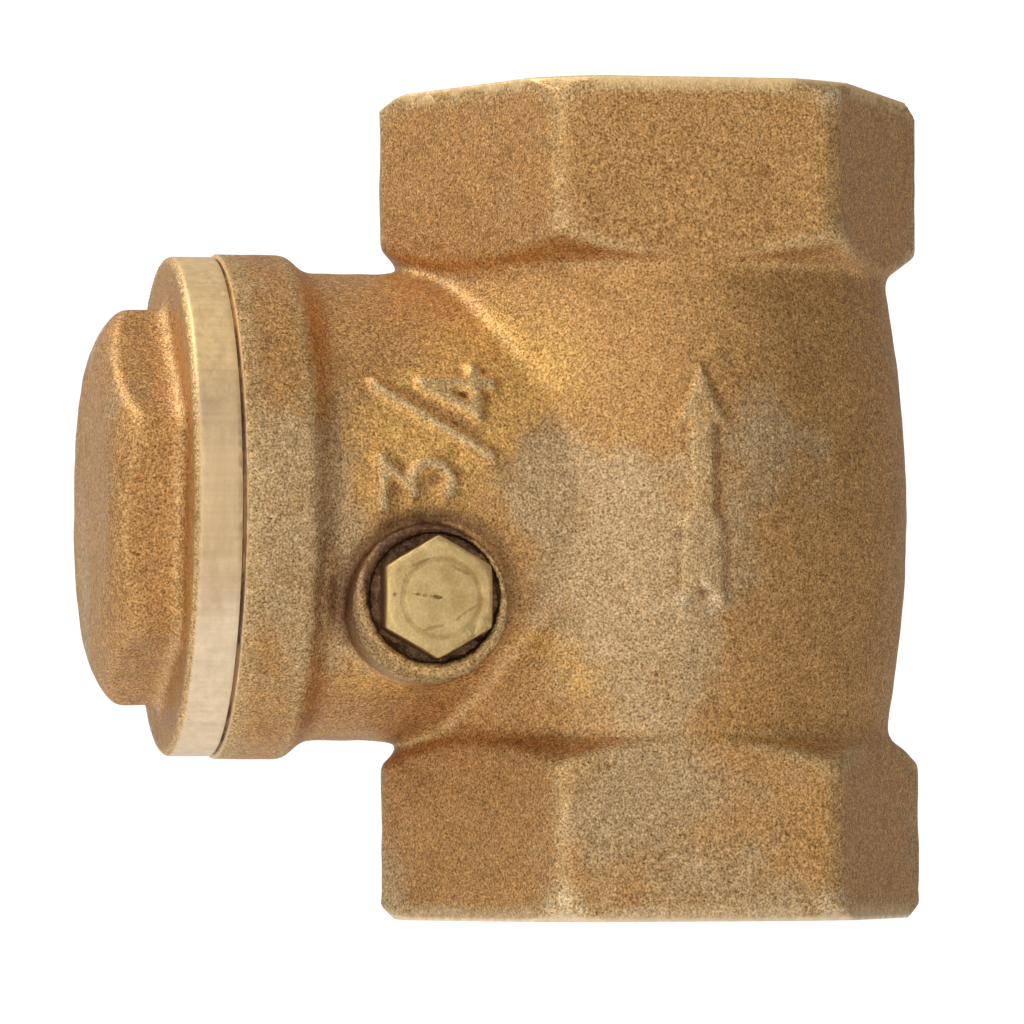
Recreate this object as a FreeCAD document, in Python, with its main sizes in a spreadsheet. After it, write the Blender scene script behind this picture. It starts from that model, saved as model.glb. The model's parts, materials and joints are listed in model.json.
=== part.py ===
# Swing check valve for a three-quarter inch line, with a screwed bonnet cap. All sizes are in millimetres.
#
# Frame: the origin is the centre of the inlet face, and +Z is the flow axis, from the inlet to the outlet.
# The bonnet points along -X. The hinge pin lies along Y, and its plug is on the -Y side.
# The clapper's pieces are drawn in a frame of their own: its origin is on the pin's axis, its X runs along
# the arm to the disc, and its Z is the disc's axis, square to the inclined seat.
import FreeCAD, Part
import os
import Sketcher

SHEET_NAME = "Sizes"
PARTS_FOLDER = "parts"
ROOT_OF_THREE = 3 ** 0.5
CORNER_TO_FLAT = 30
UP = FreeCAD.Vector(0, 0, 1)
ALONG_X = FreeCAD.Vector(1, 0, 0)
ALONG_Y = FreeCAD.Vector(0, 1, 0)

SIZES = {
    # casting, outside
    "body_length": 58.0,
    "hex_across_flats": 34.0,
    "hex_edge_radius": 1.6,
    "hex_length_at_flats": 12.8,
    "hex_length_at_corners": 10.7,
    "end_chamfer_radius": 18.2,
    "end_chamfer_depth": 1.2,
    "barrel_end_radius": 16.55,
    "barrel_middle_radius": 18.15,
    "bonnet_height": 29.0,
    "neck_radius": 16.4,
    "rim_radius": 17.7,
    "rim_face": 31.35,
    "rim_start": 26.6,
    "neck_end": 25.1,
    # raised marks on the casting
    "mark_relief": 0.4,
    "arrow_tip_height": 38.2,
    "arrow_barb_height": 33.9,
    "arrow_neck_height": 34.6,
    "arrow_tail_top": 27.6,
    "arrow_tail_end": 21.6,
    "arrow_tail_notch": 23.0,
    "arrow_barb_half_width": 1.75,
    "arrow_shaft_half_width": 0.85,
    "arrow_tail_half_width": 1.4,
    "digit_height": 5.5,
    "digit_width": 3.9,
    "stroke_width": 0.78,
    "three_base": 16.7,
    "three_start": 28.0,
    "four_base": 13.6,
    "four_start": 34.3,
    "slash_base": 14.1,
    "slash_start": 31.7,
    "slash_height": 8.2,
    "slash_width": 5.2,
    # casting, inside
    "port_radius": 12.06,
    "port_depth": 12.5,
    "wall_over_port": 2.3,
    "seat_bore_radius": 8.75,
    "seat_ring_radius": 11.3,
    "seat_land_radius": 10.2,
    "seat_land_height": 0.5,
    "chamber_end_radius": 14.4,
    "chamber_middle_radius": 15.7,
    "neck_bore_radius": 13.9,
    "bonnet_thread_radius": 14.5,
    "bonnet_thread_depth": 6.75,
    # pin and its plug
    "pin_offset": 18.4,
    "pin_height": 22.1,
    "pin_radius": 1.5,
    "pin_play": 0.03,
    "pin_length": 26.3,
    "pin_start": 12.75,
    "pin_hole_bottom": 13.75,
    "lug_radius": 3.1,
    "lug_face": 8.3,
    "lug_root": 13.4,
    "boss_radius": 5.4,
    "boss_face": 17.3,
    "boss_drop": 0.45,
    "boss_shift": 0.3,
    "boss_recess_radius": 4.45,
    "boss_recess_depth": 1.7,
    "far_boss_radius": 4.2,
    "far_boss_face": 16.1,
    "plug_across_flats": 7.3,
    "plug_head_height": 3.3,
    "plug_thread_radius": 2.75,
    "plug_thread_length": 3.25,
    "plug_washer_radius": 4.3,
    "plug_washer_thickness": 0.5,
    # bonnet cap and its gasket
    "gasket_thickness": 0.15,
    "gasket_radius": 17.35,
    "cap_flange_radius": 17.5,
    "cap_flange_thickness": 3.3,
    "cap_across_flats": 24.7,
    "cap_edge_radius": 2.2,
    "cap_hex_turn": -8.0,
    "cap_head_height": 5.2,
    "cap_top_radius": 9.3,
    "cap_bevel_height": 2.5,
    "cap_bevel_bulge": 0.66,
    "cap_head_drop": 0.1,
    "cap_thread_length": 6.5,
    "cap_bore_radius": 11.8,
    "cap_bore_depth": 2.2,
    # clapper, in its own frame
    "seat_tilt": 10.0,
    "seat_drop": 7.2,
    "arm_reach": 17.4,
    "arm_hub_radius": 3.0,
    "arm_hub_length": 16.2,
    "arm_plate_thickness": 2.2,
    "arm_plate_bottom": -2.5,
    "arm_eye_radius": 4.4,
    "arm_root_width": 12.0,
    "arm_rib_height": 1.6,
    "arm_rib_width": 2.2,
    "bolt_radius": 2.0,
    "bolt_play": 0.08,
    "seal_gap": 0.05,
    "seal_radius": 10.0,
    "seal_thickness": 2.5,
    "disc_radius": 10.9,
    "disc_plate_thickness": 2.0,
    "disc_skirt_depth": 1.25,
    "retainer_radius": 6.0,
    "retainer_thickness": 0.8,
    "bolt_head_radius": 3.3,
    "bolt_head_height": 1.6,
    "washer_radius": 4.1,
    "washer_thickness": 0.6,
    "washer_play": 0.1,
    "nut_across_flats": 7.0,
    "nut_height": 2.4,
    "bolt_stickout": 2.4,
    "split_pin_radius": 0.45,
    "split_pin_length": 7.0,
    # shared
    "small_chamfer": 0.3,
    "fit_gap": 0.05,
}


class Size:
    """A length from the sheet: its value now, and the expression that keeps it bound to its cells."""

    def __init__(self, value, text):
        self.value = value
        self.text = text

    def __add__(self, other):
        other = as_size(other)
        return Size(self.value + other.value, f"({self.text} + {other.text})")

    def __sub__(self, other):
        other = as_size(other)
        return Size(self.value - other.value, f"({self.text} - {other.text})")

    def __mul__(self, other):
        other = as_size(other)
        return Size(self.value * other.value, f"({self.text} * {other.text})")

    def __truediv__(self, other):
        other = as_size(other)
        return Size(self.value / other.value, f"({self.text} / {other.text})")

    def __neg__(self):
        return self * -1


def as_size(number):
    return number if isinstance(number, Size) else Size(float(number), str(float(number)))


def size(name):
    return Size(SIZES[name], f"{SHEET_NAME}.{name}")


def write_sheet(document):
    sheet = document.addObject("Spreadsheet::Sheet", SHEET_NAME)
    for row, (name, value) in enumerate(SIZES.items(), start=1):
        sheet.set(f"A{row}", name)
        sheet.set(f"B{row}", str(value))
        sheet.setAlias(f"B{row}", name)
    document.recompute()


def bind(thing, **sizes):
    """Ties properties of a document object, such as Radius, to the sheet."""
    for name, value in sizes.items():
        thing.setExpression(name, as_size(value).text)
    return thing


def place(thing, at=(0, 0, 0), axis=UP, turn=0):
    """Puts an object at a place tied to the sheet, turned about an axis by an angle in degrees."""
    turn = as_size(turn)
    thing.Placement = FreeCAD.Placement(FreeCAD.Vector(0, 0, 0), FreeCAD.Rotation(axis, turn.value))
    for letter, value in zip("xyz", at):
        thing.setExpression(f"Placement.Base.{letter}", as_size(value).text)
    return thing


# Sketches and turned solids


def origin_plane(body, role):
    return next(feature for feature in body.Origin.OriginFeatures if feature.Role == role)


def draw_outline(body, name, role, corners, bulges):
    """A closed outline through corners, each a pair of sizes, anticlockwise.

    Where a side is an arc, bulges gives how far it rises outward, or inward if negative, by the number of the
    corner it starts at.
    """
    sketch = body.newObject("Sketcher::SketchObject", name)
    sketch.AttachmentSupport = [(origin_plane(body, role), "")]
    sketch.MapMode = "FlatFace"
    corners = [(as_size(x), as_size(y)) for x, y in corners]
    points = [FreeCAD.Vector(x.value, y.value, 0) for x, y in corners]
    for side, start in enumerate(points):
        end = points[(side + 1) % len(points)]
        if side in bulges:
            outward = (end - start).cross(UP).normalize()
            middle = (start + end) / 2 + outward * bulges[side].value
            first, last = (start, end) if bulges[side].value > 0 else (end, start)
            sketch.addGeometry(Part.Arc(first, middle, last))
        else:
            sketch.addGeometry(Part.LineSegment(start, end))
    for side, rise in bulges.items():
        start, end = corners[side], corners[(side + 1) % len(corners)]
        half_x, half_y = (end[0] - start[0]) / 2, (end[1] - start[1]) / 2
        radius = (half_x * half_x + half_y * half_y + rise * rise) / (rise * 2)
        radius = -radius if rise.value < 0 else radius
        index = sketch.addConstraint(Sketcher.Constraint("Radius", side, radius.value))
        sketch.renameConstraint(index, f"{name}_r{side}")
        sketch.setExpression(f"Constraints.{name}_r{side}", radius.text)
    ends = [first_and_last(sketch.Geometry[side], point) for side, point in enumerate(points)]
    for side, (x, y) in enumerate(corners):
        following = (side + 1) % len(corners)
        sketch.addConstraint(
            Sketcher.Constraint("Coincident", side, ends[side][1], following, ends[following][0])
        )
        tie_coordinate(sketch, "DistanceX", side, ends[side][0], x, -2, f"{name}_x{side}")
        tie_coordinate(sketch, "DistanceY", side, ends[side][0], y, -1, f"{name}_y{side}")
    return sketch


def first_and_last(edge, start):
    """The sketcher's numbers for an edge's ends, the one at a point first, since an arc may run backwards."""
    return (1, 2) if edge.StartPoint.distanceToPoint(start) < 1e-6 else (2, 1)


def tie_coordinate(sketch, kind, edge, end, value, axis_number, name):
    if value.value == 0:
        sketch.addConstraint(Sketcher.Constraint("PointOnObject", edge, end, axis_number))
        return
    index = sketch.addConstraint(Sketcher.Constraint(kind, -1, 1, edge, end, value.value))
    sketch.renameConstraint(index, name)
    sketch.setExpression(f"Constraints.{name}", value.text)


def turned(document, label, corners, bulges=None):
    """A body of revolution about its own Z. Each corner is (radius, height), listed anticlockwise."""
    body = document.addObject("PartDesign::Body", label)
    body.Label = label
    sketch = draw_outline(body, f"{label}_outline", "XZ_Plane", corners, bulges or {})
    revolution = body.newObject("PartDesign::Revolution", f"{label}_revolution")
    revolution.Profile = sketch
    revolution.ReferenceAxis = (sketch, ["V_Axis"])
    revolution.Angle = 360
    return body


def cylinder(document, label, radius, low, high):
    """A plain cylinder about its own Z, from one height to another."""
    solid = document.addObject("Part::Cylinder", label)
    bind(solid, Radius=radius, Height=as_size(high) - low)
    return place(solid, at=(0, 0, low))


def ring(document, label, inner, outer, low, high):
    """A flat ring with its outer edges broken."""
    edge = size("small_chamfer") / 2
    low, high = as_size(low), as_size(high)
    return turned(document, label, [
        (inner, low), (outer - edge, low), (outer, low + edge),
        (outer, high - edge), (outer - edge, high), (inner, high),
    ])


def hexagon(document, label, across_flats, low, high):
    """A hexagonal prism about its own Z, with a corner on its own X."""
    solid = document.addObject("Part::Prism", label)
    solid.Polygon = 6
    bind(solid, Circumradius=as_size(across_flats) / ROOT_OF_THREE, Height=as_size(high) - low)
    return place(solid, at=(0, 0, low))


def join(document, label, *pieces):
    solid = document.addObject("Part::MultiFuse", label)
    solid.Shapes = list(pieces)
    solid.Refine = True
    return solid


def overlap(document, label, first, second):
    solid = document.addObject("Part::Common", label)
    solid.Base, solid.Tool = first, second
    return solid


def cut(document, label, base, *tools):
    tool = tools[0] if len(tools) == 1 else join(document, f"{label}_tools", *tools)
    solid = document.addObject("Part::Cut", label)
    solid.Base, solid.Tool = base, tool
    return solid


def round_upright_edges(document, label, solid, radius):
    """Rounds the edges that run along the solid's own Z."""
    document.recompute()
    rounded = document.addObject("Part::Fillet", label)
    rounded.Base = solid
    rounded.Edges = [
        (number, radius.value, radius.value)
        for number, edge in enumerate(solid.Shape.Edges, start=1)
        if abs(edge.tangentAt(edge.FirstParameter).z) > 0.999
    ]
    return rounded


# The three frames that pieces are drawn in


def in_bonnet_frame(thing, low=0):
    """Own Z runs out along the bonnet, from a distance off the flow axis. Own X points along the flow."""
    return place(thing, at=(-as_size(low), 0, size("bonnet_height")), axis=ALONG_Y, turn=-90)


def in_pin_frame(thing, out=0, shift=0, drop=0):
    """Own Z runs along the pin towards its plug, from the middle of the valve."""
    at = (-size("pin_offset") - shift, -as_size(out), size("pin_height") - drop)
    return place(thing, at=at, axis=ALONG_X, turn=90)


def in_clapper_frame(thing):
    pin = (-size("pin_offset"), 0, size("pin_height"))
    return place(thing, at=pin, axis=ALONG_Y, turn=-size("seat_tilt"))


# Casting


def hex_end(document, name):
    """One wrench end: a hexagon that is bevelled to the barrel and turned off at its outer face."""
    flat, corner = size("hex_length_at_flats"), size("hex_length_at_corners")
    reach = size("hex_across_flats") / ROOT_OF_THREE
    prism = hexagon(document, f"{name}_prism", size("hex_across_flats"), 0, flat)
    rounded = round_upright_edges(document, f"{name}_rounded", prism, size("hex_edge_radius"))
    blank = turned(document, f"{name}_blank", [
        (0, 0), (size("end_chamfer_radius"), 0), (reach, size("end_chamfer_depth")),
        (reach, corner), (size("barrel_end_radius"), flat), (0, flat),
    ])
    return overlap(document, name, rounded, blank)


def barrel_blank(document, name, growth):
    """The bulging barrel between the hexagons, or a copy of it that is larger all round."""
    low, high = size("hex_length_at_flats"), size("body_length") - size("hex_length_at_flats")
    end = size("barrel_end_radius") + growth
    bulge = size("barrel_middle_radius") - size("barrel_end_radius")
    return turned(document, name, [(0, low), (end, low), (end, high), (0, high)], bulges={1: bulge})


def pad_to_side(document, name, corners, bulges=None):
    """A prism from the middle out to the -Y side, on an outline with +X to the right and +Z up."""
    body = document.addObject("PartDesign::Body", name)
    outline = draw_outline(body, f"{name}_outline", "XZ_Plane", corners, bulges or {})
    pad = body.newObject("PartDesign::Pad", f"{name}_pad")
    pad.Profile = outline
    bind(pad, Length=size("rim_radius") * 2)
    return body


def flow_arrow(document):
    """A raised arrow that points from the inlet to the outlet, with a notched tail."""
    barb, shaft = size("arrow_barb_half_width"), size("arrow_shaft_half_width")
    tail, flared_tail = size("arrow_tail_half_width"), size("arrow_tail_half_width") * 1.1
    tail_top, tail_end = size("arrow_tail_top"), size("arrow_tail_end")
    right_side = [
        (barb, size("arrow_barb_height")), (shaft, size("arrow_neck_height")),
        (shaft, tail_top), (tail, tail_top), (flared_tail, tail_end),
    ]
    left_side = [(-x, height) for x, height in right_side]
    tip, notch = (0, size("arrow_tip_height")), (0, size("arrow_tail_notch"))
    prism = pad_to_side(document, "arrow_prism", [tip] + left_side + [notch] + right_side[::-1])
    raised_barrel = barrel_blank(document, "barrel_and_relief", size("mark_relief"))
    return overlap(document, "flow_arrow", prism, raised_barrel)


def glyph_pad(document, name, origin, points, bulges=None):
    """A prism on an outline of points (along, up) on a digit, which reads towards +Z with its top to -X."""
    start, base = origin
    corners = [(-(base + up), start + along) for along, up in points]
    return pad_to_side(document, name, corners, bulges)


def bar_points(along_start, along_end, up):
    """A level stroke whose middle line is at a height."""
    half = size("stroke_width") / 2
    return [
        (along_start, up - half), (along_end, up - half), (along_end, up + half), (along_start, up + half)
    ]


def slant_points(low, high):
    """An upright or slanting stroke from one point to a higher one, cut off level at both ends."""
    half = size("stroke_width") * 0.55
    return [
        (low[0] - half, low[1]), (low[0] + half, low[1]), (high[0] + half, high[1]), (high[0] - half, high[1])
    ]


def bowl_points(along, up, outer):
    """Three quarters of a ring, open towards the start of the digit, and the rise of its two arcs."""
    inner = outer - size("stroke_width")
    diagonal = 0.5 ** 0.5
    points = [
        (along - outer * diagonal, up - outer * diagonal), (along - outer * diagonal, up + outer * diagonal),
        (along - inner * diagonal, up + inner * diagonal), (along - inner * diagonal, up - inner * diagonal),
    ]
    return points, {0: outer * (1 + diagonal), 2: -inner * (1 + diagonal)}


def size_mark(document):
    """The nominal size as a raised 3/4 on the neck: a flat-topped three, an open four and a long slash."""
    tall, wide, half = size("digit_height"), size("digit_width"), size("stroke_width") / 2
    three_origin = (size("three_start"), size("three_base"))
    four_origin = (size("four_start"), size("four_base"))
    bowl_radius = tall * 0.32
    bowl, bowl_bulges = bowl_points(wide * 0.5, bowl_radius, bowl_radius)
    three = [
        glyph_pad(document, "three_bar", three_origin, bar_points(as_size(0), wide, tall - half)),
        glyph_pad(document, "three_slant", three_origin, slant_points(
            (wide * 0.42, bowl_radius * 2 - half), (wide - half, tall - half)
        )),
        glyph_pad(document, "three_bowl", three_origin, bowl, bowl_bulges),
    ]
    stem, crossbar = wide * 0.68, tall * 0.27
    four = [
        glyph_pad(document, "four_stem", four_origin, slant_points((stem, as_size(0)), (stem, tall))),
        glyph_pad(document, "four_bar", four_origin, bar_points(as_size(0), wide, crossbar)),
        glyph_pad(document, "four_slant", four_origin, slant_points((half, crossbar - half), (stem, tall))),
    ]
    slash_origin = (size("slash_start"), size("slash_base"))
    slash = glyph_pad(document, "slash", slash_origin, slant_points(
        (as_size(0), as_size(0)), (size("slash_width"), size("slash_height"))
    ))
    marks = join(document, "mark_prisms", *three, *four, slash)
    raised = size("neck_radius") + size("mark_relief")
    blank = cylinder(document, "neck_and_relief", raised, 0, size("neck_end"))
    return overlap(document, "size_mark", marks, in_bonnet_frame(blank))


def outside_of_casting(document):
    inlet_hex = hex_end(document, "inlet_hex")
    outlet_hex = place(hex_end(document, "outlet_hex"), (0, 0, size("body_length")), ALONG_X, 180)

    barrel = barrel_blank(document, "barrel", 0)
    neck = turned(document, "neck", [
        (0, 0), (size("neck_radius"), 0), (size("neck_radius"), size("neck_end")),
        (size("rim_radius"), size("rim_start")), (size("rim_radius"), size("rim_face")),
        (0, size("rim_face")),
    ])
    plug_boss = cylinder(document, "plug_boss", size("boss_radius"), 0, size("boss_face"))
    far_boss = cylinder(document, "far_boss", size("far_boss_radius"), -size("far_boss_face"), 0)
    in_bonnet_frame(neck)
    in_pin_frame(plug_boss, shift=size("boss_shift"), drop=size("boss_drop"))
    in_pin_frame(far_boss, out=-size("far_boss_face"))
    return join(
        document, "casting_outside", inlet_hex, outlet_hex, barrel, neck, plug_boss, far_boss,
        flow_arrow(document), size_mark(document),
    )


def seat(document):
    """The raised ring round the seat bore, cut off on the slope of the clapper, with a narrow land on top."""
    floor = size("port_depth")
    drop, land = size("seat_drop"), size("seat_land_height")
    ring_solid = cylinder(document, "seat_ring", size("seat_ring_radius"), floor, size("bonnet_height"))
    above = cylinder(document, "above_seat", size("body_length"), -drop - land, size("body_length"))
    above_ring = cut(document, "seat_slope", ring_solid, in_clapper_frame_at(above, -drop - land))
    land_solid = cylinder(document, "seat_land", size("seat_land_radius"), 0, land * 2)
    in_clapper_frame_at(land_solid, -drop - land * 2, along=size("arm_reach"))
    return join(document, "seat", above_ring, land_solid)


def in_clapper_frame_at(thing, height, along=0):
    """Puts a solid that starts at its own origin at a height and a distance along the clapper's frame."""
    slope = FreeCAD.Rotation(ALONG_Y, -SIZES["seat_tilt"])
    rise = slope.multVec(UP)
    reach = slope.multVec(ALONG_X)
    height, along = as_size(height), as_size(along)
    at = (
        height * rise.x + along * reach.x - size("pin_offset"),
        0,
        height * rise.z + along * reach.z + size("pin_height"),
    )
    return place(thing, at, ALONG_Y, -size("seat_tilt"))


def inside_of_casting(document):
    """What the core leaves open: the chamber and the bonnet's bore, less the seat and the two pin lugs."""
    floor = size("port_depth") + size("wall_over_port")
    ceiling = size("body_length") - floor
    end, middle = size("chamber_end_radius"), size("chamber_middle_radius")
    chamber = turned(
        document, "chamber", [(0, floor), (end, floor), (end, ceiling), (0, ceiling)],
        bulges={1: middle - end},
    )
    face, thread_end = size("rim_face") + 1, size("rim_face") - size("bonnet_thread_depth")
    neck_bore = cylinder(document, "neck_bore", size("neck_bore_radius"), 0, face)
    thread_bore = cylinder(document, "bonnet_thread_bore", size("bonnet_thread_radius"), 0, face - thread_end)
    in_bonnet_frame(neck_bore)
    in_bonnet_frame(thread_bore, low=thread_end)
    open_space = join(document, "open_space", chamber, neck_bore, thread_bore)

    lug_length = size("lug_root") - size("lug_face")
    near_lug = cylinder(document, "near_lug", size("lug_radius"), 0, lug_length)
    far_lug = cylinder(document, "far_lug", size("lug_radius"), 0, lug_length)
    in_pin_frame(near_lug, out=size("lug_face"))
    in_pin_frame(far_lug, out=-size("lug_root"))
    return cut(document, "core", open_space, seat(document), near_lug, far_lug)


def valve_body(document):
    past = 1.0
    length = size("body_length")
    seat_top = size("bonnet_height")
    inlet = cylinder(document, "inlet_port", size("port_radius"), -past, size("port_depth"))
    outlet_floor = length - size("port_depth") - size("wall_over_port")
    outlet = cylinder(document, "outlet_port", size("port_radius"), outlet_floor - past, length + past)
    seat_bore = cylinder(document, "seat_bore", size("seat_bore_radius"), size("port_depth") - past, seat_top)

    recess_floor = size("boss_face") - size("boss_recess_depth")
    pin_hole_length = size("pin_hole_bottom") + size("pin_start")
    plug_hole_length = recess_floor - size("pin_start") + past
    pin_hole = cylinder(document, "pin_hole", size("pin_radius") + size("pin_play"), 0, pin_hole_length)
    plug_hole_radius = size("plug_thread_radius") + size("fit_gap")
    plug_hole = cylinder(document, "plug_hole", plug_hole_radius, 0, plug_hole_length)
    recess_depth = size("boss_recess_depth") + past
    recess = cylinder(document, "plug_recess", size("boss_recess_radius"), 0, recess_depth)
    in_pin_frame(pin_hole, out=-size("pin_hole_bottom"))
    in_pin_frame(plug_hole, out=size("pin_start"))
    in_pin_frame(recess, out=recess_floor)
    return cut(
        document, "valve_body", outside_of_casting(document), inside_of_casting(document),
        inlet, outlet, seat_bore, pin_hole, plug_hole, recess,
    )


# Bonnet cap, gasket, pin and plug


def bonnet_cap(document):
    """A turned flange over a hollow threaded spigot, and a crowned hexagon cast a little off centre."""
    flange_top = size("cap_flange_thickness")
    top = flange_top + size("cap_head_height")
    reach = size("cap_across_flats") / ROOT_OF_THREE
    edge = size("small_chamfer")
    flange = turned(document, "cap_flange", [
        (0, 0), (size("cap_flange_radius"), 0), (size("cap_flange_radius"), flange_top - edge),
        (size("cap_flange_radius") - edge, flange_top), (0, flange_top),
    ])
    prism = hexagon(document, "cap_prism", size("cap_across_flats"), flange_top - 1, top + 1)
    rounded = round_upright_edges(document, "cap_prism_rounded", prism, size("cap_edge_radius"))
    blank = turned(document, "cap_head_blank", [
        (0, flange_top - 1), (reach, flange_top - 1), (reach, top - size("cap_bevel_height")),
        (size("cap_top_radius"), top), (0, top),
    ], bulges={2: size("cap_bevel_bulge")})
    head = place(
        overlap(document, "cap_head", rounded, blank),
        at=(-size("cap_head_drop"), 0, 0), turn=size("cap_hex_turn"),
    )
    spigot_radius = size("bonnet_thread_radius") - size("fit_gap")
    spigot = cylinder(document, "cap_spigot", spigot_radius, -size("cap_thread_length"), 0)
    hollow = cylinder(
        document, "cap_hollow", size("cap_bore_radius"), -size("cap_thread_length") - 1,
        size("cap_bore_depth"),
    )
    solid = join(document, "cap_solid", flange, head, spigot)
    cap = cut(document, "bonnet_cap", solid, hollow)
    return in_bonnet_frame(cap, low=size("rim_face") + size("gasket_thickness"))


def bonnet_gasket(document):
    hole = size("bonnet_thread_radius") + size("fit_gap") * 2
    radius, thickness = size("gasket_radius"), size("gasket_thickness")
    gasket = turned(document, "bonnet_gasket", [
        (hole, 0), (radius, 0), (radius, thickness), (hole, thickness),
    ])
    return in_bonnet_frame(gasket, low=size("rim_face"))


def hinge_pin(document):
    edge = size("small_chamfer")
    radius, length = size("pin_radius"), size("pin_length")
    pin = turned(document, "hinge_pin", [
        (0, 0), (radius - edge, 0), (radius, edge),
        (radius, length - edge), (radius - edge, length), (0, length),
    ])
    return in_pin_frame(pin, out=size("pin_start") - length - size("fit_gap"))


def plug_seat():
    """Where the plug's washer lies, measured out from the middle of the valve."""
    return size("boss_face") - size("boss_recess_depth")


def pin_plug_washer(document):
    hole = size("plug_thread_radius") + size("fit_gap") * 2
    washer = ring(
        document, "pin_plug_washer", hole, size("plug_washer_radius"), 0, size("plug_washer_thickness"),
    )
    return in_pin_frame(washer, out=plug_seat())


def pin_plug(document):
    """Hexagon-headed screw that closes the pin's hole. Its head has a shallow turned disc on top."""
    height, edge = size("plug_head_height"), size("small_chamfer")
    reach = size("plug_across_flats") / ROOT_OF_THREE
    prism = hexagon(document, "plug_prism", size("plug_across_flats"), 0, height)
    prism.Placement.Rotation = FreeCAD.Rotation(UP, CORNER_TO_FLAT)
    blank = turned(document, "plug_blank", [
        (0, 0), (reach, 0), (reach, height - edge), (size("plug_across_flats") / 2, height), (0, height),
    ])
    head = overlap(document, "plug_head", prism, blank)
    radius, length = size("plug_thread_radius"), size("plug_thread_length")
    shank = turned(document, "plug_shank", [
        (0, -length), (radius - edge, -length), (radius, edge - length), (radius, 1), (0, 1),
    ])
    plug = join(document, "pin_plug", head, shank)
    return in_pin_frame(plug, out=plug_seat() + size("plug_washer_thickness"))


# Clapper


def clapper_arm(document):
    """A hub on the pin, and a tapered plate with a rib that ends in an eye for the disc's bolt."""
    low, thick = size("arm_plate_bottom"), size("arm_plate_thickness")
    reach, eye = size("arm_reach"), size("arm_eye_radius")
    hub = document.addObject("Part::Cylinder", "arm_hub")
    bind(hub, Radius=size("arm_hub_radius"), Height=size("arm_hub_length"))
    place(hub, at=(0, size("arm_hub_length") / 2, 0), axis=ALONG_X, turn=90)

    plate_body = document.addObject("PartDesign::Body", "arm_plate")
    half_root, half_tip = size("arm_root_width") / 2, eye * 0.8
    outline = draw_outline(plate_body, "arm_outline", "XY_Plane", [
        (0, -half_root), (half_root / 2, -half_root), (reach, -half_tip), (reach, half_tip),
        (half_root / 2, half_root), (0, half_root),
    ], {})
    pad = plate_body.newObject("PartDesign::Pad", "arm_pad")
    pad.Profile = outline
    bind(pad, Length=thick)
    place(plate_body, at=(0, 0, low))

    eye_disc = place(cylinder(document, "arm_eye", eye, 0, thick), at=(reach, 0, low))
    rib = document.addObject("Part::Box", "arm_rib")
    rib_length = reach - size("washer_radius") - 1
    bind(rib, Length=rib_length, Width=size("arm_rib_width"), Height=thick + size("arm_rib_height"))
    place(rib, at=(0, -size("arm_rib_width") / 2, low))

    pin_bore = document.addObject("Part::Cylinder", "arm_pin_bore")
    bind(pin_bore, Radius=size("pin_radius") + size("pin_play") * 2, Height=size("arm_hub_length") + 2)
    place(pin_bore, at=(0, size("arm_hub_length") / 2 + 1, 0), axis=ALONG_X, turn=90)
    bolt_hole = cylinder(document, "arm_bolt_hole", size("bolt_radius") + size("bolt_play"), 0, thick + 2)
    place(bolt_hole, at=(reach, 0, low - 1))
    solid = join(document, "arm_solid", hub, plate_body, eye_disc, rib)
    return in_clapper_frame(cut(document, "clapper_arm", solid, pin_bore, bolt_hole))


def stack_levels():
    """Heights of the disc's pieces above the pin's axis, from the seal's face up to the nut."""
    seal_face = size("seal_gap") - size("seat_drop")
    seal_back = seal_face + size("seal_thickness")
    arm_top = size("arm_plate_bottom") + size("arm_plate_thickness")
    washer_low = arm_top + size("washer_play")
    nut_low = washer_low + size("washer_thickness")
    return {
        "seal_face": seal_face,
        "seal_back": seal_back,
        "disc_top": seal_back + size("disc_plate_thickness"),
        "washer_low": washer_low,
        "nut_low": nut_low,
        "nut_top": nut_low + size("nut_height"),
    }


def on_disc_axis(thing):
    return in_clapper_frame_at(thing, 0, along=size("arm_reach"))


def clapper_disc(document):
    """A shallow cup, open towards the seat, that holds the seal."""
    level = stack_levels()
    edge = size("small_chamfer")
    radius, hole = size("disc_radius"), size("bolt_radius") + size("fit_gap")
    pocket = size("seal_radius") + size("fit_gap")
    skirt = level["seal_back"] - size("disc_skirt_depth")
    disc = turned(document, "clapper_disc", [
        (hole, level["seal_back"]), (pocket, level["seal_back"]),
        (pocket, skirt), (radius - edge, skirt), (radius, skirt + edge),
        (radius, level["disc_top"] - edge * 2), (radius - edge * 2, level["disc_top"]),
        (hole, level["disc_top"]),
    ])
    return on_disc_axis(disc)


def disc_seal(document):
    level = stack_levels()
    edge = size("small_chamfer")
    hole, radius = size("bolt_radius") + size("fit_gap"), size("seal_radius")
    seal = turned(document, "disc_seal", [
        (hole, level["seal_face"]), (radius - edge, level["seal_face"]),
        (radius, level["seal_face"] + edge), (radius, level["seal_back"]), (hole, level["seal_back"]),
    ])
    return on_disc_axis(seal)


def seal_retainer(document):
    level = stack_levels()
    plate = ring(
        document, "seal_retainer", size("bolt_radius") + size("fit_gap"), size("retainer_radius"),
        level["seal_face"] - size("retainer_thickness"), level["seal_face"],
    )
    return on_disc_axis(plate)


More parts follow.
